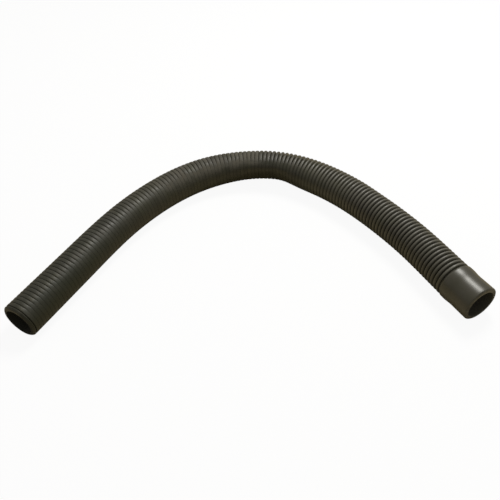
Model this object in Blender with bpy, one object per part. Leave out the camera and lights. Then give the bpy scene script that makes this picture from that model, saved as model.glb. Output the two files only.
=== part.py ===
"""A ribbed vacuum hose, lying bent into an arch, with a smooth cuff on its right-hand end.

Metres, +Z up, floor at Z = 0. The hose and the cuff are each turned straight about the X axis,
where x is the distance from the open left-hand mouth, and are then laid along one route that
ends at the cuff's mouth.
"""

import math

import bmesh
import bpy
import numpy as np
from mathutils import Vector

# The hose's wall: a plain bore inside, and ridges with narrow grooves between them outside
HOSE_BORE = 0.0381
WALL_AT_GROOVE = 0.0027
RIDGE_HEIGHT = 0.0030
RIDGE_PITCH = 0.0062
START_SQUEEZE = 0.11  # how much closer the ridges sit at the cut end
END_SQUEEZE = 0.06  # and at the cuff
SQUEEZE_RUN = 0.18
FIRST_CREST = 0.35  # of a pitch from the cut end to the first crest
CUT_HEIGHT = 0.0016  # how high above the groove the end's cut meets the outside
GRIP_DROP = 0.0016  # how much the cuff squeezes the crests inside it
GRIP_RUN = 0.0030

# The cuff: a moulded sleeve that swells into a collar where it grips the hose
CUFF_LENGTH = 0.0443
CUFF_DIAMETER = 0.0490
CUFF_WALL = 0.0054
COLLAR_PROUD = 0.00044  # of the crests outside it
COLLAR_FRONT_LENGTH = 0.0020
COLLAR_FRONT_DROP = 0.0006
WAIST_DROP = 0.0003  # how much the sleeve narrows just past the hose's end
WAIST_RUN = 0.0034
WAIST_TO_FULL_SIZE = 0.0170
MOUTH_ROUNDING = 0.0012
HOSE_IN_CUFF = 0.0100
FIT_GAP = 0.0003

# The kink just past the top of the arch, where the wall on the inside of the bend is pressed in
KINK_PLACE = 0.470
KINK_DEPTH = 0.0098
KINK_RUN_IN = 0.078
KINK_RUN_OUT = 0.036
KINK_BELOW_LEVEL = math.radians(30)

# Near the thicker cuff the hose rises from the floor over this length
RISE_LENGTH = 0.160

# The facets
HOSE_SIDES = 16
CUFF_SIDES = 32
BORE_STEP = 0.011
ROUTE_STEP = 0.003

# Where the middle of the hose runs, seen from above, from the left-hand mouth to the cuff's mouth
ROUTE = [
    (-0.2822, -0.1347),
    (-0.2606, -0.1003),
    (-0.2390, -0.0658),
    (-0.2175, -0.0313),
    (-0.1958, 0.0031),
    (-0.1725, 0.0364),
    (-0.1463, 0.0674),
    (-0.1168, 0.0955),
    (-0.0839, 0.1193),
    (-0.0471, 0.1362),
    (-0.0072, 0.1440),
    (0.0333, 0.1428),
    (0.0725, 0.1322),
    (0.1077, 0.1120),
    (0.1383, 0.0853),
    (0.1651, 0.0548),
    (0.1889, 0.0218),
    (0.2104, -0.0127),
    (0.2297, -0.0485),
    (0.2466, -0.0855),
    (0.2630, -0.1227),
    (0.2805, -0.1593),
]

bore_radius = HOSE_BORE / 2
groove_radius = bore_radius + WALL_AT_GROOVE
crest_radius = groove_radius + RIDGE_HEIGHT
cuff_radius = CUFF_DIAMETER / 2
collar_radius = crest_radius + COLLAR_PROUD


def smooth_step(share):
    """0 up to a share of 0, 1 from a share of 1, and a smooth rise between them."""
    share = np.clip(share, 0.0, 1.0)
    return share * share * (3 - 2 * share)


def lengths_along(points):
    """The distance from the first point to each point, along the points."""
    return np.concatenate([[0.0], np.cumsum(np.linalg.norm(np.diff(points, axis=0), axis=1))])


def smooth_curve(points, step):
    """Points about a step apart on the natural cubic spline through the given points."""
    points = np.array(points, float)
    knots = lengths_along(points)
    gaps = np.diff(knots)
    count = len(points)
    matrix = np.eye(count)
    right = np.zeros_like(points)
    slopes = np.diff(points, axis=0) / gaps[:, None]
    for i in range(1, count - 1):
        matrix[i, i - 1 : i + 2] = gaps[i - 1], 2 * (gaps[i - 1] + gaps[i]), gaps[i]
        right[i] = 6 * (slopes[i] - slopes[i - 1])
    bends = np.linalg.solve(matrix, right)
    at = np.linspace(0, knots[-1], math.ceil(knots[-1] / step) + 1)
    i = np.clip(np.searchsorted(knots, at) - 1, 0, count - 2)
    before = (at - knots[i])[:, None]
    after = (knots[i + 1] - at)[:, None]
    gap = gaps[i][:, None]
    return (
        bends[i] * after**3 / (6 * gap)
        + bends[i + 1] * before**3 / (6 * gap)
        + (points[i] / gap - bends[i] * gap / 6) * after
        + (points[i + 1] / gap - bends[i + 1] * gap / 6) * before
    )


def route_in_space():
    """The middle of the hose: level at its own radius, and a little higher near the cuff."""
    plan = smooth_curve(ROUTE, ROUTE_STEP)
    along = lengths_along(plan)
    rise_ends = along[-1] - CUFF_LENGTH
    share = (along - rise_ends + RISE_LENGTH) / RISE_LENGTH
    height = crest_radius + (collar_radius - crest_radius) * smooth_step(share)
    return np.column_stack([plan, height])


def make_guide(points):
    """A curve through the points, which bends what is laid along it and isn't itself a part."""
    data = bpy.data.curves.new("route", "CURVE")
    data.dimensions = "3D"
    data.twist_mode = "Z_UP"
    spline = data.splines.new("POLY")
    spline.points.add(len(points) - 1)
    for place, point in zip(spline.points, points):
        place.co = (*point, 1.0)
    guide = bpy.data.objects.new("route", data)
    guide.hide_render = True
    guide.display_type = "WIRE"
    bpy.context.collection.objects.link(guide)
    return guide


def make_material(name, colour, roughness):
    material = bpy.data.materials.new(name)
    material.use_nodes = True
    shader = material.node_tree.nodes["Principled BSDF"]
    shader.inputs["Base Color"].default_value = (*colour, 1.0)
    shader.inputs["Roughness"].default_value = roughness
    shader.inputs["Metallic"].default_value = 0.0
    return material


def turned(profile, sides):
    """The solid that a closed profile of (distance along, radius) sweeps about the X axis."""
    mesh = bmesh.new()
    corners = [mesh.verts.new((along, 0.0, radius)) for along, radius in profile]
    edges = [mesh.edges.new((a, b)) for a, b in zip(corners, corners[1:] + corners[:1])]
    bmesh.ops.spin(
        mesh,
        geom=corners + edges,
        cent=(0, 0, 0),
        axis=(1, 0, 0),
        angle=math.tau,
        steps=sides,
        use_merge=True,
    )
    bmesh.ops.remove_doubles(mesh, verts=mesh.verts, dist=1e-6)
    bmesh.ops.recalc_face_normals(mesh, faces=mesh.faces)
    return mesh


def press_kink(mesh):
    """Presses in the wall on the inside of the bend, which is at -Y and a little below level."""
    inward = Vector((0, math.cos(KINK_BELOW_LEVEL), math.sin(KINK_BELOW_LEVEL)))
    for corner in mesh.verts:
        past = corner.co.x - KINK_PLACE
        run = KINK_RUN_IN if past < 0 else KINK_RUN_OUT
        out = Vector((0, corner.co.y, corner.co.z)).normalized()
        facing = max(0.0, -out.dot(inward))
        corner.co += inward * KINK_DEPTH * math.exp(-((past / run) ** 2)) * facing**2


def lay_along(name, mesh, guide, material):
    """Makes an object of the straight mesh, and bends it along the guide."""
    data = bpy.data.meshes.new(name)
    mesh.to_mesh(data)
    mesh.free()
    data.materials.append(material)
    data.shade_smooth()
    data.set_sharp_from_angle(angle=math.radians(35))
    piece = bpy.data.objects.new(name, data)
    bpy.context.collection.objects.link(piece)
    bend = piece.modifiers.new("laid along the route", "CURVE")
    bend.object = guide
    bend.deform_axis = "POS_X"
    return piece


def ridge_places(length):
    """Where the crests and the grooves are along the hose."""
    at = np.linspace(0.0, length, 2001)
    near_start = 1 - smooth_step(at / SQUEEZE_RUN)
    near_end = smooth_step((at - length + SQUEEZE_RUN) / SQUEEZE_RUN)
    spacing = RIDGE_PITCH * (1 - START_SQUEEZE * near_start - END_SQUEEZE * near_end)
    counted = np.concatenate([[0.0], np.cumsum(np.diff(at) * 2 / (spacing[1:] + spacing[:-1]))])
    ridges = round(counted[-1])
    counted *= ridges / counted[-1]
    crests = np.interp(np.arange(ridges) + FIRST_CREST, counted, at)
    grooves = np.interp(np.arange(ridges) + FIRST_CREST + 0.5, counted, at)
    return crests, grooves


def hose_profile(length, cuff_front):
    """Ridges along the outside from the left-hand cut end to the right, and the bore back."""
    outside = [(0.0, groove_radius + CUT_HEIGHT)]
    for crest, groove in zip(*ridge_places(length)):
        gripped = float(smooth_step((crest - cuff_front + GRIP_RUN) / GRIP_RUN))
        outside += [(crest, crest_radius - GRIP_DROP * gripped), (groove, groove_radius)]
    outside.append((length, groove_radius + CUT_HEIGHT))
    rings = round(length / BORE_STEP)
    inside = [(length * ring / rings, bore_radius) for ring in range(rings, -1, -1)]
    return outside + inside


def cuff_profile(front, mouth):
    """The collar, the waist and the sleeve outside, and the bore and the hose's socket inside."""
    true_size = 1 / math.cos(math.pi / CUFF_SIDES)  # keeps the flats of the socket at its radius
    socket = (crest_radius - GRIP_DROP + FIT_GAP) * true_size
    sleeve_bore = cuff_radius - CUFF_WALL
    shoulder = front + HOSE_IN_CUFF + FIT_GAP
    waist = shoulder + WAIST_RUN
    outside = [
        (front, collar_radius - COLLAR_FRONT_DROP),
        (front + COLLAR_FRONT_LENGTH, collar_radius),
        (shoulder, collar_radius),
        (waist, cuff_radius - WAIST_DROP),
        (waist + WAIST_TO_FULL_SIZE, cuff_radius),
        (mouth - MOUTH_ROUNDING, cuff_radius),
        (mouth, cuff_radius - MOUTH_ROUNDING),
    ]
    inside = [(mouth, sleeve_bore), (shoulder, sleeve_bore), (shoulder, socket), (front, socket)]
    return outside + inside


for old in list(bpy.data.objects):
    bpy.data.objects.remove(old)

route = route_in_space()
guide = make_guide(route)
mouth = float(lengths_along(route)[-1])
cuff_front = mouth - CUFF_LENGTH

hose = turned(hose_profile(cuff_front + HOSE_IN_CUFF, cuff_front), HOSE_SIDES)
press_kink(hose)
lay_along("ribbed_hose", hose, guide, make_material("hose rubber", (0.045, 0.042, 0.030), 0.55))

cuff = turned(cuff_profile(cuff_front, mouth), CUFF_SIDES)
lay_along("end_cuff", cuff, guide, make_material("cuff vinyl", (0.075, 0.070, 0.055), 0.45))
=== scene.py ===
# %% [markdown]
# # A ribbed vacuum hose with a smooth cuff
#
# The real thing is a dark, rubbery hose with a bore of 38 mm and about 0.8 m long. It lies on the
# floor in an arch, one end is cut square, and a smooth moulded cuff grips the other end.
# The construction model gives the size and place of both pieces. This script makes them again with
# round ridges, soft edges and a real finish, in the same place, and lights and frames them.

# %% Load the construction model
import math

import bmesh
import bpy
import numpy as np
from mathutils import Matrix


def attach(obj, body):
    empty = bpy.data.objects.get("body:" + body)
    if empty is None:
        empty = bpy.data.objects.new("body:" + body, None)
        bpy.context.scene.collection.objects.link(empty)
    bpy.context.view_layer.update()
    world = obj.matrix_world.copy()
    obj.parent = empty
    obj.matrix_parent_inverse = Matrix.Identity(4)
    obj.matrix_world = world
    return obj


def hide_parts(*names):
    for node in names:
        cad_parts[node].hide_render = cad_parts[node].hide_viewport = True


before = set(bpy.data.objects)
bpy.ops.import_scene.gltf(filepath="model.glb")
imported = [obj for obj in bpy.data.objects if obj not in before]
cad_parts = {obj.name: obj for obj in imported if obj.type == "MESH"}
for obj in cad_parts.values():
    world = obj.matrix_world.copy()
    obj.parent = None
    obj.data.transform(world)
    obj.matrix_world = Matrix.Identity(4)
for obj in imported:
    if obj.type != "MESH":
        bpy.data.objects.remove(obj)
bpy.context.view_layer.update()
bpy.ops.object.select_all(action="DESELECT")
print("loaded", ", ".join(sorted(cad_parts)))

# %% [markdown]
# ## Camera
#
# The camera looks down on the hose at 45 degrees, from in front of the two open ends. Its place,
# tilt and lens were fitted to the outline of the hose, so that the render has the same perspective:
# the legs near the camera look thicker than the top of the arch. It was held a little crooked, which
# is the roll.

# %% Place the camera
CAMERA_PLACE = (0.0085, -0.5843, 0.5781)
CAMERA_TILT = math.radians(44.60)  # away from looking straight down
CAMERA_ROLL = math.radians(-4.13)
CAMERA_LENS = 41.47  # mm
CAMERA_SENSOR = 36.0  # mm

turned = Matrix.Rotation(CAMERA_TILT, 3, "X") @ Matrix.Rotation(CAMERA_ROLL, 3, "Z")
bpy.ops.object.camera_add(location=CAMERA_PLACE, rotation=turned.to_euler())
camera = bpy.context.object
camera.name = "camera"
camera.data.lens = CAMERA_LENS
camera.data.sensor_width = CAMERA_SENSOR
bpy.context.scene.camera = camera
print("camera at", tuple(round(x, 3) for x in camera.location))

# %% [markdown]
# ## The route of the hose
#
# A hose is laid along a curve. The points are the middle of the hose seen from above, from the
# square-cut end to the cuff's mouth, and a natural cubic spline runs smoothly through them.
# Straight runs joined by arcs would look like bent wire instead.

# %% Work out the route
HOSE_BORE = 0.0381
CREST_RADIUS = 0.02475
GROOVE_RADIUS = 0.02175
COLLAR_RADIUS = 0.02519
CUFF_LENGTH = 0.0443
RISE_LENGTH = 0.160  # over which the hose rises to meet the thicker cuff
ROUTE_STEP = 0.003
ROUTE = [
    (-0.2822, -0.1347),
    (-0.2606, -0.1003),
    (-0.2390, -0.0658),
    (-0.2175, -0.0313),
    (-0.1958, 0.0031),
    (-0.1725, 0.0364),
    (-0.1463, 0.0674),
    (-0.1168, 0.0955),
    (-0.0839, 0.1193),
    (-0.0471, 0.1362),
    (-0.0072, 0.1440),
    (0.0333, 0.1428),
    (0.0725, 0.1322),
    (0.1077, 0.1120),
    (0.1383, 0.0853),
    (0.1651, 0.0548),
    (0.1889, 0.0218),
    (0.2104, -0.0127),
    (0.2297, -0.0485),
    (0.2466, -0.0855),
    (0.2630, -0.1227),
    (0.2805, -0.1593),
]


def smooth_step(share):
    """0 up to a share of 0, 1 from a share of 1, and a smooth rise between them."""
    share = np.clip(share, 0.0, 1.0)
    return share * share * (3 - 2 * share)


def lengths_along(points):
    """The distance from the first point to each point, along the points."""
    return np.concatenate([[0.0], np.cumsum(np.linalg.norm(np.diff(points, axis=0), axis=1))])


def smooth_curve(points, step):
    """Points about a step apart on the natural cubic spline through the given points."""
    points = np.array(points, float)
    knots = lengths_along(points)
    gaps = np.diff(knots)
    count = len(points)
    matrix = np.eye(count)
    right = np.zeros_like(points)
    slopes = np.diff(points, axis=0) / gaps[:, None]
    for i in range(1, count - 1):
        matrix[i, i - 1 : i + 2] = gaps[i - 1], 2 * (gaps[i - 1] + gaps[i]), gaps[i]
        right[i] = 6 * (slopes[i] - slopes[i - 1])
    bends = np.linalg.solve(matrix, right)
    at = np.linspace(0, knots[-1], math.ceil(knots[-1] / step) + 1)
    i = np.clip(np.searchsorted(knots, at) - 1, 0, count - 2)
    before = (at - knots[i])[:, None]
    after = (knots[i + 1] - at)[:, None]
    gap = gaps[i][:, None]
    return (
        bends[i] * after**3 / (6 * gap)
        + bends[i + 1] * before**3 / (6 * gap)
        + (points[i] / gap - bends[i] * gap / 6) * after
        + (points[i + 1] / gap - bends[i + 1] * gap / 6) * before
    )


plan = smooth_curve(ROUTE, ROUTE_STEP)
along_plan = lengths_along(plan)
rise = smooth_step((along_plan - along_plan[-1] + CUFF_LENGTH + RISE_LENGTH) / RISE_LENGTH)
route = np.column_stack([plan, CREST_RADIUS + (COLLAR_RADIUS - CREST_RADIUS) * rise])
mouth_at = float(lengths_along(route)[-1])
cuff_at = mouth_at - CUFF_LENGTH
print(f"the route is {mouth_at:.4f} m long, and the cuff begins at {cuff_at:.4f} m")

# %% [markdown]
# ## A guide to bend things along
#
# Both pieces are made straight along the X axis, where they are easy to model, and a Curve modifier
# then bends them along this guide. Z_UP keeps them from twisting. The guide is deleted when the
# cuff is laid too.

# %% Draw the guide
def draw_guide(points):
    """A curve through the points."""
    data = bpy.data.curves.new("guide", "CURVE")
    data.dimensions = "3D"
    data.twist_mode = "Z_UP"
    line = data.splines.new("POLY")
    line.points.add(len(points) - 1)
    for place, point in zip(line.points, points):
        place.co = (*point, 1.0)
    curve = bpy.data.objects.new("guide", data)
    bpy.context.collection.objects.link(curve)
    return curve


guide = draw_guide(route)
print("the guide has", len(route), "points")

# %% [markdown]
# ## Tools for turned shapes
#
# Everything round here is a ring of vertices that is carried along: extruded to the next station,
# then resized to its radius there. Spinning an outline round the axis would do too. Rings are kept
# here because a station is just a place and a radius, and they leave rows of four-sided faces.

# %% Rings, edges and modifiers
def take(piece):
    """Makes one piece the only selected one, and the active one."""
    bpy.ops.object.select_all(action="DESELECT")
    bpy.context.view_layer.objects.active = piece
    piece.select_set(True)


def edit(piece):
    """Goes into edit mode on one piece, with nothing in it selected."""
    take(piece)
    bpy.ops.object.mode_set(mode="EDIT")
    bpy.ops.mesh.select_mode(type="EDGE")
    bpy.ops.mesh.select_all(action="DESELECT")


def face_outwards():
    """In edit mode, points all the faces out of the solid, and leaves nothing selected."""
    bpy.ops.mesh.select_all(action="SELECT")
    bpy.ops.mesh.normals_make_consistent(inside=False)
    bpy.ops.mesh.select_all(action="DESELECT")


def add_ring(station, sides):
    """Adds a selected ring about the X axis at a station, which is (distance along, radius)."""
    bpy.ops.mesh.primitive_circle_add(
        vertices=sides,
        radius=station[1],
        calc_uvs=False,
        location=(station[0], 0, 0),
        rotation=(0, math.pi / 2, 0),
    )


def carry_ring(stations):
    """Extrudes the selected ring through the stations, starting from the first one."""
    for here, there in zip(stations, stations[1:]):
        step = (there[0] - here[0], 0, 0)
        bpy.ops.mesh.extrude_region_move(TRANSFORM_OT_translate={"value": step})
        grow = there[1] / here[1]
        bpy.ops.transform.resize(value=(1, grow, grow), center_override=(there[0], 0, 0))


def start_piece(name, station, sides):
    """A new piece at the origin with a single ring, which is selected in edit mode."""
    add_ring(station, sides)
    bpy.ops.object.transform_apply(location=True, rotation=True, scale=True)
    piece = bpy.context.object
    piece.name = name
    piece.data.name = name
    edit(piece)
    bpy.ops.mesh.select_all(action="SELECT")
    return piece


def select_edges(piece, wanted):
    """In edit mode, selects the edges whose two ends pass a test, and nothing else."""
    bpy.ops.mesh.select_all(action="DESELECT")
    mesh = bmesh.from_edit_mesh(piece.data)
    for edge in mesh.edges:
        if wanted(edge.verts[0].co, edge.verts[1].co):
            edge.select_set(True)
    bmesh.update_edit_mesh(piece.data)


def add_modifier(piece, kind, **settings):
    """Adds a modifier with its settings, and applies it."""
    take(piece)
    bpy.ops.object.modifier_add(type=kind)
    modifier = piece.modifiers[-1]
    for setting, value in settings.items():
        setattr(modifier, setting, value)
    bpy.ops.object.modifier_apply(modifier=modifier.name)


print("tools for rings are ready")

# %% [markdown]
# ## One ridge of the hose
#
# The outside of the hose is a row of broad round ridges with narrow, deep grooves between them.
# One ridge is modelled from groove to groove, together with the plain stretch of bore inside it,
# because what repeats is modelled once. The stations crowd towards the grooves, where the profile
# turns most. Spaced evenly, there would have to be more of them for the same round shape.

# %% Model one ridge
RIDGE_PITCH = 0.0062
START_SQUEEZE = 0.11  # how much closer the ridges sit at the cut end
END_SQUEEZE = 0.06  # and at the cuff
SQUEEZE_RUN = 0.18
HOSE_IN_CUFF = 0.0100
FIRST_CREST = 0.35  # of a pitch from the cut end to the first crest
HOSE_SIDES = 48
COUNTING_PLACES = 2001
RIDGE_STATIONS = 10
BORE_STATIONS = 2
RIDGE_BREADTH = 3.0  # higher is a flatter crest
GROOVE_POWER = 0.65  # lower is a steeper groove

hose_length = cuff_at + HOSE_IN_CUFF


def count_ridges():
    """Places along the hose, and how many ridges there are up to each, a whole number in all."""
    at = np.linspace(0.0, hose_length, COUNTING_PLACES)
    near_start = 1 - smooth_step(at / SQUEEZE_RUN)
    near_end = smooth_step((at - hose_length + SQUEEZE_RUN) / SQUEEZE_RUN)
    spacing = RIDGE_PITCH * (1 - START_SQUEEZE * near_start - END_SQUEEZE * near_end)
    counted = np.concatenate([[0.0], np.cumsum(np.diff(at) * 2 / (spacing[1:] + spacing[:-1]))])
    return at, counted * round(counted[-1]) / counted[-1]


counted_at, counted = count_ridges()
ridges = round(counted[-1])
pitch = hose_length / ridges
first_groove = (FIRST_CREST - 0.5) * pitch


def ridge_stations():
    """The outside of one ridge, from groove to groove, as (distance along, radius)."""
    stations = []
    for i in range(RIDGE_STATIONS + 1):
        across = -math.cos(math.pi * i / RIDGE_STATIONS)  # -1 and 1 are the grooves, 0 the crest
        height = max(0.0, 1 - abs(across) ** RIDGE_BREADTH) ** GROOVE_POWER
        radius = GROOVE_RADIUS + (CREST_RADIUS - GROOVE_RADIUS) * height
        stations.append((first_groove + (across + 1) / 2 * pitch, radius))
    return stations


def bore_stations():
    """The bore inside one ridge."""
    step = pitch / BORE_STATIONS
    return [(first_groove + step * i, HOSE_BORE / 2) for i in range(BORE_STATIONS + 1)]


hose = start_piece("hose", ridge_stations()[0], HOSE_SIDES)
carry_ring(ridge_stations())
bpy.ops.mesh.select_all(action="DESELECT")
add_ring(bore_stations()[0], HOSE_SIDES)
carry_ring(bore_stations())
bpy.ops.object.mode_set(mode="OBJECT")
print(f"one ridge has {len(hose.data.polygons)} faces, and the hose has {ridges} of them")

# %% [markdown]
# ## The whole hose, straight
#
# An Array modifier repeats the ridge and merges the copies, with two to spare. Both ends are then
# cut square, as a real hose is cut from a coil. At each cut the outer ring is extruded inwards to
# the bore, where the two merge: that gives the wall its thickness. Bridging the two rings would be
# shorter, but it joins them crosswise, because they run opposite ways round. A cut takes a vertex
# for its own if it is nearer than the threshold, so that is kept far below the smallest step.

# %% Repeat the ridge and cut the ends
MERGE = 0.00001
NEAR = 0.00002  # how exactly a place or a radius is met
SPARE_RIDGES = 2


def on_ring(at, least_radius):
    """A test for edges that lie round the axis at one distance along."""
    def wanted(a, b):
        radii = math.hypot(a.y, a.z), math.hypot(b.y, b.z)
        round_the_axis = abs(radii[0] - radii[1]) < NEAR and radii[0] > least_radius
        return round_the_axis and abs(a.x - at) < NEAR and abs(b.x - at) < NEAR
    return wanted


def cut_across(at, **cleared):
    """In edit mode, cuts the whole mesh square across at a distance along."""
    bpy.ops.mesh.select_all(action="SELECT")
    bpy.ops.mesh.bisect(plane_co=(at, 0, 0), plane_no=(1, 0, 0), threshold=MERGE, **cleared)


def close_wall(piece, at, inner_radius):
    """In edit mode, extrudes the outer ring at one end inwards until it meets the inner one."""
    select_edges(piece, on_ring(at, inner_radius + NEAR))
    mesh = bmesh.from_edit_mesh(piece.data)
    on_outer_ring = next(vertex.co for vertex in mesh.verts if vertex.select)
    outer_radius = math.hypot(on_outer_ring.y, on_outer_ring.z)
    bpy.ops.mesh.extrude_region_move(TRANSFORM_OT_translate={"value": (0, 0, 0)})
    shrink = inner_radius / outer_radius
    bpy.ops.transform.resize(value=(1, shrink, shrink), center_override=(at, 0, 0))
    bpy.ops.mesh.select_all(action="SELECT")
    bpy.ops.mesh.remove_doubles(threshold=MERGE)


add_modifier(
    hose,
    "ARRAY",
    count=ridges + SPARE_RIDGES,
    use_relative_offset=False,
    use_constant_offset=True,
    constant_offset_displace=(pitch, 0, 0),
    use_merge_vertices=True,
    merge_threshold=MERGE,
)
edit(hose)
cut_across(0.0, clear_inner=True)
cut_across(hose_length, clear_outer=True)
close_wall(hose, 0.0, HOSE_BORE / 2)
close_wall(hose, hose_length, HOSE_BORE / 2)
face_outwards()
bpy.ops.object.mode_set(mode="OBJECT")
print(f"the straight hose has {len(hose.data.polygons)} faces")

# %% [markdown]
# ## The ends of the hose
#
# The outer edge of the cut left-hand end is well rounded: a quarter of an ellipse, and then a slight
# cone that reaches the crests. Inside the cuff, the ridges are squeezed flatter by its grip. Both
# are limits on the radius: what is already inside a limit, such as the bore, doesn't move. A bevel
# would round only the edge itself, and not the ridges behind it. The mesh first gets a few more
# rings near the cut, to be round with.

# %% Round the cut end and squeeze the gripped one
CUT_RADIUS = 0.0235
CUT_ROUNDING = 0.0042  # along the hose
CUT_DROP = 0.0024  # and across it
TAPER_SLOPE = 0.45  # growth of the radius for each metre along
CUT_RINGS = (0.0001, 0.0004, 0.0008, 0.0014, 0.0022)  # closest where the ellipse is steepest
GRIP_DROP = 0.0016
GRIP_RUN = 0.0030


def places_of(mesh):
    """The places of a mesh's vertices, one row each."""
    places = np.empty(len(mesh.vertices) * 3)
    mesh.vertices.foreach_get("co", places)
    return places.reshape(-1, 3)


def hold_within(mesh, limit):
    """Keeps every vertex within a radius that is given by its distance along."""
    places = places_of(mesh)
    radii = np.linalg.norm(places[:, 1:], axis=1)
    limits = limit(places[:, 0])
    places[:, 1:] *= np.minimum(1.0, limits / radii)[:, None]
    mesh.vertices.foreach_set("co", places.ravel())
    mesh.update()
    return np.count_nonzero(radii > limits)


def round_cut(at):
    """A quarter of an ellipse at the cut end, which goes on into a slight cone."""
    short = np.clip(1 - at / CUT_ROUNDING, 0.0, 1.0)
    return CUT_RADIUS + TAPER_SLOPE * at - CUT_DROP * (1 - np.sqrt(1 - short**2))


def grip(at):
    """The crests outside the cuff, and lower inside it."""
    return CREST_RADIUS - GRIP_DROP * smooth_step((at - cuff_at + GRIP_RUN) / GRIP_RUN)


edit(hose)
for at in CUT_RINGS:
    cut_across(at)
bpy.ops.object.mode_set(mode="OBJECT")
print("the rounding moved", hold_within(hose.data, round_cut), "vertices")
print("the grip moved", hold_within(hose.data, grip), "vertices")

# %% [markdown]
# ## A map of places on the hose
#
# A material can only follow the ridges if it knows where it is along the hose, and spacing and
# bending the mesh would lose that. So the place is written down now, as a UV map: U counts ridges
# from groove to groove, and V goes once round, from the top by way of the outside of the bend. A
# face that crosses the seam would run backwards through the whole map, so its corners are brought
# within half a turn of each other.
#
# On the hose, the bore gets grime and painted shade and the lower part of the rim painted shade, and
# on both pieces they are duller. How much each vertex gets goes into an attribute. Faces with a
# material of their own could do it too, but then the painted shade would end at a hard line on the
# rim.

# %% Map along and around
MAP_NAME = "along_and_around"
INSIDE_NAME = "inside"
HOSE_RIM_DEPTH = 0.0002  # how far in from the mouth the rim counts as such
RIM_UNSHADED_FROM = 1.10  # the height over the middle above which the rim gets no painted shade, in radii
RIM_FADE = 0.9


def map_along_and_around(mesh, first, step):
    """Writes a UV map: U is the distance past first along X, in steps, and V the turns round X."""
    places = places_of(mesh)
    corners = np.empty(len(mesh.loops), int)
    mesh.loops.foreach_get("vertex_index", corners)
    starts = np.empty(len(mesh.polygons), int)
    mesh.polygons.foreach_get("loop_start", starts)
    totals = np.empty(len(mesh.polygons), int)
    mesh.polygons.foreach_get("loop_total", totals)
    along = (places[corners, 0] - first) / step
    around = np.arctan2(places[corners, 1], places[corners, 2]) / math.tau
    around -= np.round(around - np.repeat(around[starts], totals))
    layer = mesh.uv_layers.new(name=MAP_NAME)
    layer.uv.foreach_set("vector", np.column_stack([along, around]).astype(np.float32).ravel())
    return along.min(), along.max()


def mark_inside(mesh, bore_radius, mouth, rim_depth, rim_radius):
    """Writes down how much grime and painted shade each vertex takes: the bore's wall, and the lower
    part of the rim.
    """
    places = places_of(mesh)
    radii = np.linalg.norm(places[:, 1:], axis=1)
    on_rim = (abs(places[:, 0] - mouth) < rim_depth + NEAR) & (radii < rim_radius + NEAR)
    # the low part of the rim takes painted shade, and the bore grime and painted shade
    low = smooth_step((RIM_UNSHADED_FROM - places[:, 2] / radii) / RIM_FADE)
    grime_and_shade = np.where(on_rim, low, radii < bore_radius + NEAR)
    layer = mesh.attributes.new(INSIDE_NAME, "FLOAT", "POINT")
    layer.data.foreach_set("value", grime_and_shade.astype(np.float32))
    return np.count_nonzero(grime_and_shade)


low, high = map_along_and_around(hose.data, first_groove, pitch)
inner = mark_inside(hose.data, HOSE_BORE / 2, 0.0, HOSE_RIM_DEPTH, CUT_RADIUS)
print(f"U runs from {low:.2f} to {high:.2f} ridges, and {inner} vertices are inside")

# %% [markdown]
# ## Space the ridges, and open and close them in the bend
#
# The ridges sit closer at both ends than in the middle, so the straight mesh is stretched to their
# real places. Round the bend, a ridged wall gives mostly in its grooves: they gape on the outside
# of the bend, and on the inside the ridges touch. So each ridge's profile is made narrower on the
# outside, at +Y, and fuller on the inside, by the stretch that its place has in the bend.
#
# The rest is wear. On the left leg the ridges are fuller and their grooves partly filled. Past the
# top of the arch, where the hose has been bent over and over, they are leaner, and on the outside
# they stand apart. How much of that there is depends on the place along, so it is a short list of
# places and values with straight runs between them. Shape keys could do it too, but each would need
# a sculpted copy of the mesh.

# %% Space and shape the ridges
CLOSED_NAME = "closed"
PROFILE_GAIN = 6.0
MOST_SHARPENING = 8.0  # the highest power that a profile is raised to
HINGE_PLACE = 0.505  # just past the kink, where the bend is sharpest
HINGE_RUN_IN = 0.032
HINGE_RUN_OUT = 0.080
HINGE_BEND = 12.0  # more radians for each metre there
FULLNESS_PLACES = (0.0, 0.012, 0.020, 0.43, 0.52, 0.56)
FULLNESS = (1.6, 0.9, 0.9, 0.7, -0.4, -0.9)  # at those places, and leaner than modelled below 0
CLOSED_PLACES = (0.012, 0.44, 0.49, 0.60, 0.68)
CLOSED = (0.45, 0.40, 0.0, 0.0, 0.0)  # how far the grooves are filled, all round
CLOSED_INSIDE = (0.95, 0.95, 0.9, 0.5, 0.15)  # and on the inside of the bend
INSIDE_FROM = 0.32  # how squarely the wall faces the inside of the bend there, of 1
INSIDE_RUN = 0.32
GAPE_FROM = 0.425  # along the hose, where the ridges stand apart on the outside of the bend
GAPE_TO = 0.65
GAPE_FADE = 0.045
GAPE_RAISE = 0.0012  # of the crests
GAPE_SINK = 0.0022  # of the grooves


def bend_along(at):
    """How sharply the route bends, in turns to the right for each metre, in radians."""
    heading = np.unwrap(np.arctan2(np.gradient(route[:, 1]), np.gradient(route[:, 0])))
    along = lengths_along(route)
    return np.interp(at, along, -np.gradient(heading, along))


def gape(places):
    """How far the ridges stand apart, from 0 to 1, where the hose has been bent over and over."""
    comes = smooth_step((places[:, 0] - GAPE_FROM) / GAPE_FADE)
    goes = smooth_step((GAPE_TO - places[:, 0]) / GAPE_FADE)
    facing_out = places[:, 1] / np.linalg.norm(places[:, 1:], axis=1)
    return comes * goes * np.maximum(0.0, facing_out)


def closed(places):
    """How far the grooves are filled, from 0 to 1: the ridges touch on the inside of the bend."""
    facing_in = -places[:, 1] / np.linalg.norm(places[:, 1:], axis=1)
    all_round = np.interp(places[:, 0], CLOSED_PLACES, CLOSED)
    inside = np.interp(places[:, 0], CLOSED_PLACES, CLOSED_INSIDE)
    return all_round + (inside - all_round) * smooth_step((facing_in - INSIDE_FROM) / INSIDE_RUN)


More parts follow.
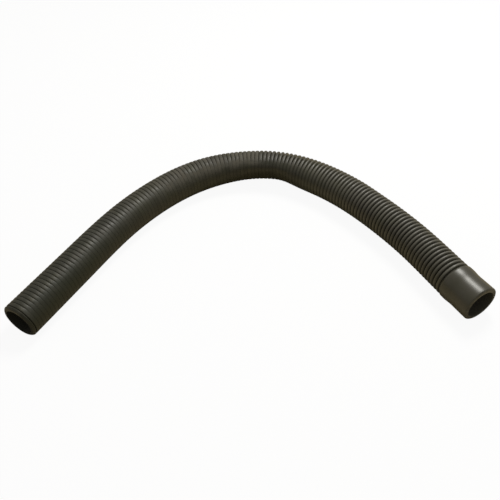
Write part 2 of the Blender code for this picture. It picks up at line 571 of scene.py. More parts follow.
def space_and_shape(mesh):
    """Moves the ridges to their places along, and widens or closes the grooves between them."""
    places = places_of(mesh)
    places[:, 0] = np.interp(places[:, 0] / pitch, counted, counted_at)
    radii = np.linalg.norm(places[:, 1:], axis=1)
    height = (radii - GROOVE_RADIUS) / (CREST_RADIUS - GROOVE_RADIUS)
    shaped = (height >= 0) & (places[:, 0] > CUT_ROUNDING) & (places[:, 0] < cuff_at - RIDGE_PITCH)
    past = places[:, 0] - HINGE_PLACE
    hinge = HINGE_BEND * np.exp(-((past / np.where(past < 0, HINGE_RUN_IN, HINGE_RUN_OUT)) ** 2))
    stretch = (bend_along(places[:, 0]) + hinge) * places[:, 1]
    sharper = PROFILE_GAIN * stretch - np.interp(places[:, 0], FULLNESS_PLACES, FULLNESS)
    height[shaped] **= np.minimum(np.exp(sharper[shaped]), MOST_SHARPENING)
    filled = closed(places)
    layer = mesh.attributes.new(CLOSED_NAME, "FLOAT", "POINT")
    layer.data.foreach_set("value", filled.astype(np.float32))
    height += (1 - height) * filled
    deeper = gape(places)
    crest = CREST_RADIUS + GAPE_RAISE * deeper
    groove = GROOVE_RADIUS - GAPE_SINK * deeper
    wanted = groove + (crest - groove) * height
    places[shaped, 1:] *= (wanted[shaped] / radii[shaped])[:, None]
    mesh.vertices.foreach_set("co", places.ravel())
    mesh.update()
    return stretch.max()


print(f"the outside of the bend is stretched by up to {100 * space_and_shape(hose.data):.0f}%")

# %% [markdown]
# ## The kink
#
# Just past the top of the arch the hose has been bent hard at some time, and its wall on the inside
# of the bend is pressed in. This is done while the hose is straight, because there the inside of
# the bend is simply the -Y side. The dent comes in slowly from the left and leaves quickly to the
# right. Sculpting by hand would do it too, but a formula gives the same dent each run.

# %% Press in the kink
KINK_PLACE = 0.470
KINK_DEPTH = 0.0098
KINK_RUN_IN = 0.078
KINK_RUN_OUT = 0.036
KINK_BELOW_LEVEL = math.radians(30)


def press_kink(mesh):
    """Moves the wall inwards round the kink, most where it faces the inside of the bend."""
    places = places_of(mesh)
    inward = np.array([0.0, math.cos(KINK_BELOW_LEVEL), math.sin(KINK_BELOW_LEVEL)])
    past = places[:, 0] - KINK_PLACE
    run = np.where(past < 0, KINK_RUN_IN, KINK_RUN_OUT)
    out = places * (0, 1, 1)
    out /= np.linalg.norm(out, axis=1)[:, None]
    facing = np.maximum(0.0, -(out @ inward)) ** 2
    depth = KINK_DEPTH * np.exp(-((past / run) ** 2)) * facing
    mesh.vertices.foreach_set("co", (places + depth[:, None] * inward).ravel())
    mesh.update()
    return depth.max()


print(f"the wall is pressed in by up to {1000 * press_kink(hose.data):.1f} mm")

# %% [markdown]
# ## Lay the hose along its route
#
# The Curve modifier carries each vertex from its distance along X to the same distance along the
# guide. It squeezes the ridges together on the inside of the bend and spreads them on the outside,
# as the real hose does. Applied, it leaves the object at the origin with its place in its mesh.

# %% Bend the hose
SHARP_ANGLE = math.radians(50)


def lay_along_guide(piece):
    """Bends a straight piece along the guide, and shades it smooth but for its sharp edges."""
    add_modifier(piece, "CURVE", object=guide, deform_axis="POS_X")
    take(piece)
    bpy.ops.object.shade_smooth_by_angle(angle=SHARP_ANGLE)


lay_along_guide(hose)
print("the hose spans", ", ".join(f"{x:.3f}" for x in hose.dimensions), "m")

# %% [markdown]
# ## The cuff
#
# The cuff is one moulded sleeve. Where it grips the hose it swells into a collar with a round nose,
# then it has a slight waist, and then it widens a little to its mouth. Like the hose it is turned
# from stations, this time all the way: up the outside, over the rim, back through the bore and
# round the socket that the hose's end sits in. Its corners are quarter rounds among the stations
# rather than bevels, because each has its own reach along and across.

# %% Work out the cuff's profile
CUFF_RADIUS = 0.0245
CUFF_WALL = 0.0054
COLLAR_NOSE_LENGTH = 0.0020
COLLAR_NOSE_DROP = 0.0006
WAIST_DROP = 0.0002
WAIST_RUN = 0.0085
WAIST_TO_FULL_SIZE = 0.0170
MOUTH_ROUNDING = 0.0022
RIM_ROUNDING = 0.0046  # across the mouth, where MOUTH_ROUNDING is along it
BORE_ROUNDING = 0.0004
FIT_GAP = 0.0003
CUFF_STEP = 0.0040
ROUND_STATIONS = 8


def run(start, end, count):
    """Stations from one (distance along, radius) to another, past the first one."""
    shares = [i / count for i in range(1, count + 1)]
    reach, grow = end[0] - start[0], end[1] - start[1]
    return [(start[0] + reach * s, start[1] + grow * float(smooth_step(s))) for s in shares]


def round_corner(start, end, flat_first):
    """A quarter round from one station to another. It leaves either along the axis or across it."""
    stations = []
    for i in range(1, ROUND_STATIONS + 1):
        turn = math.pi / 2 * i / ROUND_STATIONS
        late, early = 1 - math.cos(turn), math.sin(turn)
        along, across = (early, late) if flat_first else (late, early)
        reach, grow = end[0] - start[0], end[1] - start[1]
        stations.append((start[0] + reach * along, start[1] + grow * across))
    return stations


def cuff_stations():
    """The cuff's whole section, as (distance along, radius), without the closing station."""
    shoulder = cuff_at + HOSE_IN_CUFF + FIT_GAP
    waist = shoulder + WAIST_RUN
    full = waist + WAIST_TO_FULL_SIZE
    socket = CREST_RADIUS - GRIP_DROP + FIT_GAP
    bore = CUFF_RADIUS - CUFF_WALL
    rim_out, rim_in = CUFF_RADIUS - RIM_ROUNDING, bore + BORE_ROUNDING
    outer_end, inner_end = mouth_at - MOUTH_ROUNDING, mouth_at - BORE_ROUNDING
    nose = (cuff_at, COLLAR_RADIUS - COLLAR_NOSE_DROP)
    stations = [nose]
    nose_end = (cuff_at + COLLAR_NOSE_LENGTH, COLLAR_RADIUS)
    collar_end = (shoulder - WAIST_RUN / 2, COLLAR_RADIUS)
    sleeve_steps = round((outer_end - full) / CUFF_STEP)
    bore_steps = round((inner_end - shoulder) / CUFF_STEP)
    stations += round_corner(nose, nose_end, flat_first=False)
    stations += run(stations[-1], collar_end, count=2)
    stations += run(stations[-1], (waist, CUFF_RADIUS - WAIST_DROP), count=8)
    stations += run(stations[-1], (full, CUFF_RADIUS), count=6)
    stations += run(stations[-1], (outer_end, CUFF_RADIUS), sleeve_steps)
    stations += round_corner(stations[-1], (mouth_at, rim_out), flat_first=True)
    stations += run(stations[-1], (mouth_at, rim_in), count=2)
    stations += round_corner(stations[-1], (inner_end, bore), flat_first=False)
    stations += run(stations[-1], (shoulder, bore), bore_steps)
    stations += run(stations[-1], (shoulder, socket), count=2)
    stations += run(stations[-1], (cuff_at, socket), count=3)
    return stations


print("the cuff's section has", len(cuff_stations()), "stations")

# %% [markdown]
# ## Turn the cuff
#
# The same rings that made the hose make the cuff, and the last ring is merged with the first one,
# which closes the section. It has twice as many sides as the hose, because nothing breaks up its
# smooth outline. The cuff gets the same map and the same mark for its bore and low rim as the hose,
# and is laid along the same guide, so the two fit.

# %% Turn the cuff
CUFF_SIDES = 96
CUFF_RIM_DEPTH = 0.0010

cuff = start_piece("cuff", cuff_stations()[0], CUFF_SIDES)
carry_ring(cuff_stations() + cuff_stations()[:1])
bpy.ops.mesh.select_all(action="SELECT")
bpy.ops.mesh.remove_doubles(threshold=MERGE)
face_outwards()
bpy.ops.object.mode_set(mode="OBJECT")
map_along_and_around(cuff.data, cuff_at, CUFF_LENGTH)
mark_inside(cuff.data, CUFF_RADIUS - CUFF_WALL, mouth_at, CUFF_RIM_DEPTH, CUFF_RADIUS)
lay_along_guide(cuff)
bpy.data.objects.remove(guide)
print(f"the cuff has {len(cuff.data.polygons)} faces")

# %% [markdown]
# ## Helpers for materials
#
# Each finish below is a set of nodes. The effects that both finishes share are node groups with
# named inputs, built once, so that each material can place them with its own values.

# %% Node helpers
MIX_COLOUR_INPUTS = (0, 6, 7)  # the Mix node has a set of sockets for each kind of value
MIX_COLOUR_OUTPUT = 2


def feed(tree, socket, value):
    """Links a socket to an output, or sets its own value."""
    if isinstance(value, bpy.types.NodeSocket):
        tree.links.new(value, socket)
    else:
        socket.default_value = value


def add_node(tree, kind, settings=None, **inputs):
    """Adds a node, with its settings, and links or sets its inputs by name."""
    node = tree.nodes.new(kind)
    for setting, value in (settings or {}).items():
        setattr(node, setting, value)
    for name, value in inputs.items():
        feed(tree, node.inputs[name.replace("_", " ")], value)
    return node


def calculate(tree, operation, *values):
    """The result of a Math node."""
    node = add_node(tree, "ShaderNodeMath", {"operation": operation})
    for socket, value in zip(node.inputs, values):
        feed(tree, socket, value)
    return node.outputs["Value"]


def ramp(tree, value, start, end, low=0.0, high=1.0):
    """A value carried smoothly from a range to another, and held at both ends."""
    return add_node(
        tree,
        "ShaderNodeMapRange",
        {"interpolation_type": "SMOOTHSTEP"},
        Value=value,
        From_Min=start,
        From_Max=end,
        To_Min=low,
        To_Max=high,
    ).outputs["Result"]


def blend_colours(tree, share, first, second):
    """The first colour at a share of 0 and the second at 1."""
    node = add_node(tree, "ShaderNodeMix", {"data_type": "RGBA"})
    for socket, value in zip(MIX_COLOUR_INPUTS, (share, first, second)):
        feed(tree, node.inputs[socket], value)
    return node.outputs[MIX_COLOUR_OUTPUT]


def noise(tree, vector, scale, detail=2.0, roughness=0.5):
    """The height of a Noise Texture, about 0.5 on average."""
    return add_node(
        tree,
        "ShaderNodeTexNoise",
        Vector=vector,
        Scale=scale,
        Detail=detail,
        Roughness=roughness,
    ).outputs["Fac"]


def attribute(tree, name):
    """A number that was written down on the mesh."""
    return add_node(tree, "ShaderNodeAttribute", {"attribute_name": name}).outputs["Fac"]


def start_group(name, inputs, outputs):
    """A new shader node group with named sockets, and its input and output sockets."""
    group = bpy.data.node_groups.new(name, "ShaderNodeTree")
    for socket, kind in inputs.items():
        group.interface.new_socket(socket, in_out="INPUT", socket_type=kind)
    for socket, kind in outputs.items():
        group.interface.new_socket(socket, in_out="OUTPUT", socket_type=kind)
    given = group.nodes.new("NodeGroupInput")
    result = group.nodes.new("NodeGroupOutput")
    return group, given.outputs, result.inputs


def place_group(tree, group, **inputs):
    """Places a group in a material, and gives its outputs."""
    return add_node(tree, "ShaderNodeGroup", {"node_tree": group}, **inputs).outputs


FLOAT, VECTOR, COLOUR = "NodeSocketFloat", "NodeSocketVector", "NodeSocketColor"
print("node helpers are ready")

# %% [markdown]
# ## Shared effect: uneven tone
#
# Old rubber and vinyl are never one even colour. They fade and yellow in broad, soft patches. Two
# noises of different sizes, added together, choose between two tones of the same material. One
# noise alone would look like clouds, all of one size.

# %% Build the uneven tone
FINER_BY = 4.3
FINER_SHARE = 0.6
TONE_CHANGE = (0.6, 1.0)  # the sums of both noises where one tone ends and the other begins

uneven_tone, given, result = start_group(
    "uneven tone",
    {"Vector": VECTOR, "Patch Scale": FLOAT, "One Tone": COLOUR, "Other Tone": COLOUR},
    {"Colour": COLOUR},
)
broad = noise(uneven_tone, given["Vector"], given["Patch Scale"])
finer_scale = calculate(uneven_tone, "MULTIPLY", given["Patch Scale"], FINER_BY)
finer = noise(uneven_tone, given["Vector"], finer_scale, detail=4.0, roughness=0.6)
finer_part = calculate(uneven_tone, "MULTIPLY", finer, FINER_SHARE)
share = ramp(uneven_tone, calculate(uneven_tone, "ADD", broad, finer_part), *TONE_CHANGE)
blended = blend_colours(uneven_tone, share, given["One Tone"], given["Other Tone"])
feed(uneven_tone, result["Colour"], blended)
print("built", uneven_tone.name)

# %% [markdown]
# ## Shared effect: settled dust
#
# Dust lies where it can settle, on what faces up, and in patches. The mask multiplies the upward
# part of the surface normal by a cloudy noise. A painted mask would have to be painted again for
# each piece.

# %% Build the settled dust
DUST_HOLDS = (0.2, 1.0)  # the upward part of the normal, from no dust to all of it
DUST_CLOUDS = (0.35, 0.75)  # the heights of the noise, from no dust to all of it

settled_dust, given, result = start_group(
    "settled dust",
    {"Vector": VECTOR, "Patch Scale": FLOAT, "Amount": FLOAT},
    {"Mask": FLOAT},
)
normal = settled_dust.nodes.new("ShaderNodeNewGeometry").outputs["Normal"]
upward = add_node(settled_dust, "ShaderNodeSeparateXYZ", Vector=normal).outputs["Z"]
facing_up = ramp(settled_dust, upward, *DUST_HOLDS)
clouds = noise(settled_dust, given["Vector"], given["Patch Scale"], detail=6.0, roughness=0.65)
patches = ramp(settled_dust, clouds, *DUST_CLOUDS)
mask = calculate(settled_dust, "MULTIPLY", facing_up, patches)
feed(settled_dust, result["Mask"], calculate(settled_dust, "MULTIPLY", mask, given["Amount"]))
print("built", settled_dust.name)

# %% [markdown]
# ## Shared effect: rubbed marks
#
# Handling leaves small pale rubs with soft edges. They are the highest spots of a fine noise, kept
# apart by a coarse one, so no two are alike, as stamped marks would be.

# %% Build the rubbed marks
MARK_SPOTS = (0.55, 0.72)  # the heights of the fine noise, from no mark to a full one
MARK_AREAS = (0.45, 0.65)  # and of the coarse noise
AREAS_BY = 0.17  # the coarse noise's scale, as a share of the fine one's

rubbed_marks, given, result = start_group(
    "rubbed marks",
    {"Vector": VECTOR, "Mark Scale": FLOAT, "Amount": FLOAT},
    {"Mask": FLOAT},
)
fine = noise(rubbed_marks, given["Vector"], given["Mark Scale"], detail=5.0, roughness=0.7)
spots = ramp(rubbed_marks, fine, *MARK_SPOTS)
area_scale = calculate(rubbed_marks, "MULTIPLY", given["Mark Scale"], AREAS_BY)
areas = ramp(rubbed_marks, noise(rubbed_marks, given["Vector"], area_scale), *MARK_AREAS)
mask = calculate(rubbed_marks, "MULTIPLY", spots, areas)
feed(rubbed_marks, result["Mask"], calculate(rubbed_marks, "MULTIPLY", mask, given["Amount"]))
print("built", rubbed_marks.name)

# %% [markdown]
# ## Shared effect: fine grain
#
# Seen close, extruded rubber and moulded vinyl have a skin of tiny bumps that breaks up the
# highlight. It is far too small to model, so it is a height for a Bump node.

# %% Build the fine grain
WAVES_BY = 0.12  # the waves' scale, as a share of the grain's

fine_grain, given, result = start_group(
    "fine grain", {"Vector": VECTOR, "Grain Scale": FLOAT}, {"Height": FLOAT}
)
skin = noise(fine_grain, given["Vector"], given["Grain Scale"], detail=3.0, roughness=0.6)
wave_scale = calculate(fine_grain, "MULTIPLY", given["Grain Scale"], WAVES_BY)
waves = noise(fine_grain, given["Vector"], wave_scale)
feed(fine_grain, result["Height"], calculate(fine_grain, "ADD", skin, waves))
print("built", fine_grain.name)

# %% [markdown]
# ## The start and the end of a finish
#
# Both finishes begin with the same three readings, the place on the object and the map's two
# directions, and both end with the fine grain. Grain is given as a scale and a strength, because a
# moulded cuff is much smoother than an extruded hose.

# %% Helpers for both finishes
GRAIN_HEIGHT = 0.0002


def start_material(name):
    """A new material, its node tree and its shader."""
    material = bpy.data.materials.new(name)
    material.use_nodes = True
    return material, material.node_tree, material.node_tree.nodes["Principled BSDF"]


def read_places(tree):
    """The place on the object, the map's place along, and its turns round from the top."""
    place = tree.nodes.new("ShaderNodeTexCoord").outputs["Object"]
    mapped = add_node(tree, "ShaderNodeUVMap", {"uv_map": MAP_NAME}).outputs["UV"]
    turn = add_node(tree, "ShaderNodeSeparateXYZ", Vector=mapped).outputs
    return place, turn["X"], turn["Y"]


def add_grain(tree, shader, place, scale, strength):
    """Breaks up the highlight with the fine grain."""
    grain = place_group(tree, fine_grain, Vector=place, Grain_Scale=scale)["Height"]
    bump = add_node(
        tree, "ShaderNodeBump", Strength=strength, Distance=GRAIN_HEIGHT, Height=grain
    )
    feed(tree, shader.inputs["Normal"], bump.outputs["Normal"])


print("helpers for both finishes are ready")

# %% [markdown]
# ## The hose's rubber: its own colour
#
# Dark olive-grey rubber, satin where it is clean. Its colour is built up in layers: what the real
# hose has, in the order in which it came onto it, with painted shade and a painted highlight laid in
# among them. The first is the rubber itself: uneven in broad patches, and a little different from
# ridge to ridge. A White Noise of the ridge's number gives each ridge its own chance tone, which a
# noise in space couldn't do, because it knows nothing of the ridges.

# %% Mix the rubber's own colour
RUBBER_OLIVE = (0.050, 0.048, 0.028, 1.0)
RUBBER_GREY = (0.043, 0.040, 0.029, 1.0)
# a dark colour: the chance tone of some ridges, painted shade in the open grooves and on the low
# rim, and grime and painted shade in the bore
DARK_TONE_AND_SHADE = (0.012, 0.011, 0.008, 1.0)
RUBBER_PATCHES = 14.0
RIDGE_DARKENING = 0.35  # the most that a ridge leans towards that dark colour

rubber, tree, shader = start_material("hose rubber")
place, ridge, around = read_places(tree)
tone = place_group(
    tree,
    uneven_tone,
    Vector=place,
    Patch_Scale=RUBBER_PATCHES,
    One_Tone=RUBBER_OLIVE,
    Other_Tone=RUBBER_GREY,
)["Colour"]
number = calculate(tree, "FLOOR", ridge)
chance = add_node(tree, "ShaderNodeTexWhiteNoise", {"noise_dimensions": "1D"}, W=number)
ridge_tone = ramp(tree, chance.outputs["Value"], 0.0, 1.0, 0.0, RIDGE_DARKENING)
tone = blend_colours(tree, ridge_tone, tone, DARK_TONE_AND_SHADE)
print("mixed the colour of", rubber.name)

# %% [markdown]
# ## The hose's rubber: the darker sides
#
# Where the ridges touch, on the inside of the bend, the colour is darkened with painted shade, most
# of all on the left leg, and the rubber there mirrors less. That leg also gets painted shade from
# its top over its outer side. Painting this by hand would look much the same, but the map and the
# filled grooves already say where it is, and they still do if a size changes.

# %% Darken two sides
RUBBER_SHADED = (0.018, 0.020, 0.011, 1.0)
FILLED_CHANGE = (0.42, 0.85)  # how far the grooves are filled, from no painted shade to the most
INNER_SHADE = 0.85
INNER_RIDGES = (15.0, 45.0)  # from the full shade on the left leg to what is left of it
INNER_LEFT = 0.4
OUTER_TURNS = (-0.06, -0.01)  # turns from the top, from no shade to all of it
OUTER_SHADE = 0.65
OUTER_RIDGES = (20.0, 45.0)  # from that shade to none

filled = attribute(tree, CLOSED_NAME)
inner_side = calculate(
    tree,
    "MULTIPLY",
    ramp(tree, filled, *FILLED_CHANGE, 0.0, INNER_SHADE),
    ramp(tree, ridge, *INNER_RIDGES, 1.0, INNER_LEFT),
)
outer_side = calculate(
    tree,
    "MULTIPLY",
    ramp(tree, around, *OUTER_TURNS),
    ramp(tree, ridge, *OUTER_RIDGES, OUTER_SHADE, 0.0),
)
# painted shade on the inside of the bend, and over the top and outer side of the left leg
shaded = calculate(tree, "MAXIMUM", inner_side, outer_side)
tone = blend_colours(tree, shaded, tone, RUBBER_SHADED)
print("darkened two sides of", rubber.name)

# %% [markdown]
# ## The hose's rubber: rubbed crests, a painted highlight and painted groove shade
#
# The crests are what hands and floors touch, so they carry the pale rubs, and from the top of the
# arch to the cuff a painted highlight lies all along their tops. The grooves get painted shade, and
# only where they are open: where they are filled, none shows. Both are measured from the nearest
# groove on the map, so they stay on their ridges however those are spaced and bent.

# %% Rub the crests, paint their highlight and paint shade in the grooves
WORN_AND_HIGHLIT_RUBBER = (0.115, 0.110, 0.090, 1.0)
CREST_SIDE = (0.16, 0.42)  # ridges from a groove, from its side to the crest
RUBBER_MARK_SCALE = 420.0
RUBBER_MARKS = 0.35
TOP_TURNS = (0.06, 0.20)  # turns from the top, from all of the painted highlight to what is left of it
SIDE_HIGHLIGHT = 0.3
HIGHLIT_RIDGES = (75.0, 95.0)  # from no painted highlight to the most
MOST_HIGHLIGHT = 0.9
GROOVE_SIDE = (0.03, 0.16)  # ridges from a groove, from its bottom to its side
GROOVE_SHADE = 0.9
SHADE_GONE = 0.8  # how far a groove is filled when no painted shade shows in it

from_groove = calculate(tree, "PINGPONG", ridge, 0.5)
on_crest = ramp(tree, from_groove, *CREST_SIDE)
marks = place_group(
    tree, rubbed_marks, Vector=place, Mark_Scale=RUBBER_MARK_SCALE, Amount=RUBBER_MARKS
)["Mask"]
near_top = ramp(tree, calculate(tree, "ABSOLUTE", around), *TOP_TURNS, 1.0, SIDE_HIGHLIGHT)
# a painted highlight along the crests' tops, from the top of the arch to the cuff
painted_highlight = calculate(tree, "MULTIPLY", near_top, ramp(tree, ridge, *HIGHLIT_RIDGES, 0.0, MOST_HIGHLIGHT))
# the pale rubs are wear, and the rest of this lightening is the painted highlight
rubbed = calculate(tree, "MULTIPLY", calculate(tree, "ADD", marks, painted_highlight), on_crest)
tone = blend_colours(tree, rubbed, tone, WORN_AND_HIGHLIT_RUBBER)
in_groove = ramp(tree, from_groove, *GROOVE_SIDE, 1.0, 0.0)
still_open = ramp(tree, filled, 0.0, SHADE_GONE, GROOVE_SHADE, 0.0)
# painted shade in the bottoms of the open grooves
tone = blend_colours(tree, calculate(tree, "MULTIPLY", in_groove, still_open), tone, DARK_TONE_AND_SHADE)
print("rubbed and dirtied", rubber.name)

# %% [markdown]
# ## The hose's rubber: dust, grime and painted shade
#
# Pale dust lies over all that, thickest on the top of the arch. Inside the bore there is grime and
# painted shade instead, and low on the rim painted shade. They come last, because they lie on top of
# every other layer.

# %% Lay on the dust, the grime and the painted shade
DUST = (0.150, 0.135, 0.108, 1.0)
DUST_COMES = (38.0, 58.0)  # the ridges over which it gets thick
DUST_GOES = (70.0, 82.0)  # and thin again
LEAST_DUST = 0.15
MOST_DUST = 0.65
RUBBER_DUST_PATCHES = 60.0
BORE_GRIME_AND_SHADE = 0.6

top_of_arch = calculate(
    tree, "MULTIPLY", ramp(tree, ridge, *DUST_COMES), ramp(tree, ridge, *DUST_GOES, 1.0, 0.0)
)
amount = ramp(tree, top_of_arch, 0.0, 1.0, LEAST_DUST, MOST_DUST)
dust = place_group(
    tree, settled_dust, Vector=place, Patch_Scale=RUBBER_DUST_PATCHES, Amount=amount
)["Mask"]
tone = blend_colours(tree, dust, tone, DUST)
inside = attribute(tree, INSIDE_NAME)
# grime and painted shade in the bore, painted shade on the low part of the rim
inner_grime_and_shade = calculate(tree, "MULTIPLY", inside, BORE_GRIME_AND_SHADE)
tone = blend_colours(tree, inner_grime_and_shade, tone, DARK_TONE_AND_SHADE)
feed(tree, shader.inputs["Base Color"], tone)
print("dusted", rubber.name)

# %% [markdown]
# ## The hose's rubber: its gloss
#
# Clean rubber is satin, and its gloss changes softly from place to place. Dust makes it duller, and
# so does the mark of the bore and the low rim; the left leg is a little duller than the right one,
# and where the ridges touch it mirrors less. A picture could hold all this, but a few added numbers
# can be changed one by one.

# %% Give the rubber its gloss
GLOSS_CHANGE = (0.3, 0.7)  # the heights of the noise between which the gloss changes
RUBBER_GLOSS_SCALE = 90.0
RUBBER_ROUGHNESS = (0.36, 0.44)
RUBBER_INSIDE_DULLS = 0.3
LEFT_LEG_DULLER = 0.07
DULL_RIDGES = (60.0, 90.0)  # from that much duller to none
MIRRORING = (0.5, 0.35)  # the specular level, of clean rubber and where the grooves are filled
RUBBER_GRAIN_SCALE = 1500.0
RUBBER_GRAIN = 0.35

uneven = noise(tree, place, RUBBER_GLOSS_SCALE)
rough = calculate(tree, "ADD", ramp(tree, uneven, *GLOSS_CHANGE, *RUBBER_ROUGHNESS), dust)
inside_dulls = calculate(tree, "MULTIPLY", inside, RUBBER_INSIDE_DULLS)
rough = calculate(tree, "ADD", rough, inside_dulls)
rough = calculate(tree, "ADD", rough, ramp(tree, ridge, *DULL_RIDGES, LEFT_LEG_DULLER, 0.0))
feed(tree, shader.inputs["Roughness"], rough)
feed(tree, shader.inputs["Specular IOR Level"], ramp(tree, filled, *FILLED_CHANGE, *MIRRORING))
add_grain(tree, shader, place, RUBBER_GRAIN_SCALE, RUBBER_GRAIN)
hose.data.materials.append(rubber)
print("made", rubber.name)

# %% [markdown]
# ## The cuff's vinyl
#
# The cuff is smoother, a shade lighter and glossier than the hose. It is faintly mottled, a little
# yellow with age, and rubbed paler at its two edges, where hands and the machine's port catch it.
# The edges are found on the map, where they are at U of 0 and 1. A Bevel node could find them too,
# but it would find the edges of the waist and the socket as well.

# %% Mix the vinyl's colour
VINYL_GREY = (0.058, 0.054, 0.041, 1.0)
VINYL_OLIVE = (0.051, 0.048, 0.032, 1.0)
RUBBED_VINYL = (0.150, 0.145, 0.118, 1.0)
VINYL_PATCHES = 45.0
EDGE_SHARE = 0.05  # of the cuff's length
EDGE_WEAR = 0.5
EDGE_WEAR_SCALE = 300.0
EDGE_WEAR_SPOTS = (0.4, 0.7)  # the heights of the noise, from no wear to all of it
VINYL_MARK_SCALE = 350.0
VINYL_MARKS = 0.06
VINYL_DUST_PATCHES = 40.0
VINYL_DUST = 0.06

vinyl, tree, shader = start_material("cuff vinyl")
place, along = read_places(tree)[:2]
tone = place_group(
    tree,
    uneven_tone,
    Vector=place,
    Patch_Scale=VINYL_PATCHES,
    One_Tone=VINYL_GREY,
    Other_Tone=VINYL_OLIVE,
)["Colour"]
from_end = calculate(tree, "PINGPONG", along, 0.5)
at_edge = ramp(tree, from_end, 0.0, EDGE_SHARE, 1.0, 0.0)
wear = ramp(tree, noise(tree, place, EDGE_WEAR_SCALE, detail=4.0), *EDGE_WEAR_SPOTS)
wear = calculate(tree, "MULTIPLY", calculate(tree, "MULTIPLY", wear, at_edge), EDGE_WEAR)
tone = blend_colours(tree, wear, tone, RUBBED_VINYL)
marks = place_group(
    tree, rubbed_marks, Vector=place, Mark_Scale=VINYL_MARK_SCALE, Amount=VINYL_MARKS
)["Mask"]
tone = blend_colours(tree, marks, tone, RUBBED_VINYL)
dust = place_group(
    tree, settled_dust, Vector=place, Patch_Scale=VINYL_DUST_PATCHES, Amount=VINYL_DUST
)["Mask"]
tone = blend_colours(tree, dust, tone, DUST)
feed(tree, shader.inputs["Base Color"], tone)
print("mixed the colour of", vinyl.name)

# %% [markdown]
# ## The cuff's gloss
#
# Moulded vinyl comes out of a polished mould, so its gloss is nearly even and its grain hardly
# shows: that gives the cuff its one clean streak of light. Only the bore and the low part of the rim
# are duller. They keep the vinyl's own colour.

# %% Give the vinyl its gloss
VINYL_GLOSS_SCALE = 40.0
VINYL_ROUGHNESS = (0.35, 0.36)
VINYL_INSIDE_DULLS = 0.4
VINYL_GRAIN_SCALE = 1100.0
VINYL_GRAIN = 0.015

uneven = noise(tree, place, VINYL_GLOSS_SCALE)
inside_dulls = calculate(tree, "MULTIPLY", attribute(tree, INSIDE_NAME), VINYL_INSIDE_DULLS)
rough = ramp(tree, uneven, *GLOSS_CHANGE, *VINYL_ROUGHNESS)
feed(tree, shader.inputs["Roughness"], calculate(tree, "ADD", rough, inside_dulls))
add_grain(tree, shader, place, VINYL_GRAIN_SCALE, VINYL_GRAIN)
cuff.data.materials.append(vinyl)
print("made", vinyl.name)

# %% [markdown]
# ## The floor
#
# The hose lies on a pale, plain floor. To the camera it is nearly white, but it keeps part of its
# own shading, so that the hose's soft shadow still shows. To the hose it is a yellowish board that
# throws some warm light up from below, in its reflections too. Making it white with more light
# would bleach the hose as well, so a Light Path node tells the camera's rays from all the others.

# %% Lay the floor
FLOOR_SIZE = 8.0
FLOOR_SHOWN = (0.98, 0.98, 0.98, 1.0)
FLOOR_GIVEN = (0.55, 0.47, 0.31, 1.0)
FLOOR_GLOW = 0.93  # the share of its own light in what the camera sees


def seen_directly(tree):
    """1 for rays that come from the camera, straight or through something clear, and else 0."""
    rays = tree.nodes.new("ShaderNodeLightPath").outputs
    return calculate(tree, "MAXIMUM", rays["Is Camera Ray"], rays["Is Transmission Ray"])


def mix_shaders(tree, share, first, second):
    """The first shader at a share of 0 and the second at 1."""
    node = tree.nodes.new("ShaderNodeMixShader")
    for socket, value in zip(node.inputs, (share, first, second)):
        feed(tree, socket, value)
    return node.outputs["Shader"]


bpy.ops.mesh.primitive_plane_add(size=FLOOR_SIZE, location=(0, 0, 0))
floor = bpy.context.object
floor.name = "floor"
pale, tree, shader = start_material("pale floor")
tree.nodes.remove(shader)
shown = add_node(tree, "ShaderNodeBsdfDiffuse", Color=FLOOR_SHOWN).outputs["BSDF"]
given_back = add_node(tree, "ShaderNodeBsdfDiffuse", Color=FLOOR_GIVEN).outputs["BSDF"]
glow = tree.nodes.new("ShaderNodeEmission").outputs["Emission"]
bright = mix_shaders(tree, FLOOR_GLOW, shown, glow)
surface = mix_shaders(tree, seen_directly(tree), given_back, bright)
feed(tree, tree.nodes["Material Output"].inputs["Surface"], surface)
floor.data.materials.append(pale)
print("the floor is", FLOOR_SIZE, "m wide")

# %% [markdown]
# ## The lamp
#
# Each ridge has a short highlight, and the cuff a long soft one. One square lamp makes them all,
# high up and behind the hose to the right. Its size sets how soft the highlights are, and its place
# where on the round wall they lie. Several lamps would give every ridge several highlights.

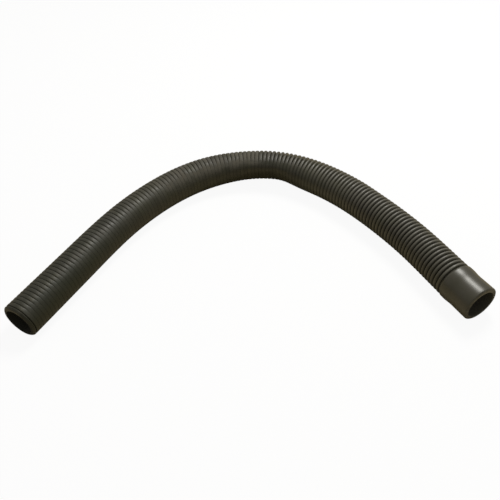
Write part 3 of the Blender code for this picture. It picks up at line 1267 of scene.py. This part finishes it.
# %% Hang the lamp
LAMP_AZIMUTH = math.radians(38)  # from +Y towards +X
LAMP_HEIGHT = math.radians(59)
LAMP_AWAY = 1.45
LAMP_SIZE = 0.45
LAMP_POWER = 15.0
LAMP_COLOUR = (1.0, 0.985, 0.93)

aim = (
    math.sin(LAMP_AZIMUTH) * math.cos(LAMP_HEIGHT),
    math.cos(LAMP_AZIMUTH) * math.cos(LAMP_HEIGHT),
    math.sin(LAMP_HEIGHT),
)
bpy.ops.object.light_add(type="AREA", location=[LAMP_AWAY * part for part in aim])
lamp = bpy.context.object
lamp.name = "lamp"
lamp.rotation_euler = (math.pi / 2 - LAMP_HEIGHT, 0, math.pi - LAMP_AZIMUTH)
lamp.data.size = LAMP_SIZE
lamp.data.energy = LAMP_POWER
lamp.data.color = LAMP_COLOUR
print("the lamp points along", tuple(round(-part, 2) for part in aim))

# %% [markdown]
# ## The sky
#
# A plain, slightly warm sky fills the shadows evenly. Behind the hose the camera sees pure white
# instead, by the same Light Path trick as on the floor. A picture of a room would leave its windows
# on the cuff.

# %% Light the sky
SKY_LIGHT = 0.33
SKY_COLOUR = (1.0, 0.97, 0.90, 1.0)
SKY_SHOWN = (1.0, 1.0, 1.0, 1.0)

world = bpy.data.worlds.new("sky")
world.use_nodes = True
bpy.context.scene.world = world
tree = world.node_tree
background = tree.nodes["Background"].inputs
seen = seen_directly(tree)
feed(tree, background["Color"], blend_colours(tree, seen, SKY_COLOUR, SKY_SHOWN))
feed(tree, background["Strength"], ramp(tree, seen, 0.0, 1.0, SKY_LIGHT, 1.0))
print("the sky gives", SKY_LIGHT, "of full light")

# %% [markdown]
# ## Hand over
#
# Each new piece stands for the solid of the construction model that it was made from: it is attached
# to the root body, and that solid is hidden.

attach(hose, "root")
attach(cuff, "root")
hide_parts("ribbed_hose")
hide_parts("end_cuff")

print(f"the hose is {hose_length:.3f} m long")

# %% [markdown]
# ## The colour transform
#
# Last, the colours are shown with the plain Standard transform, so that they look as they were
# mixed.

# %% Show the colours plainly
bpy.context.scene.view_settings.view_transform = "Standard"
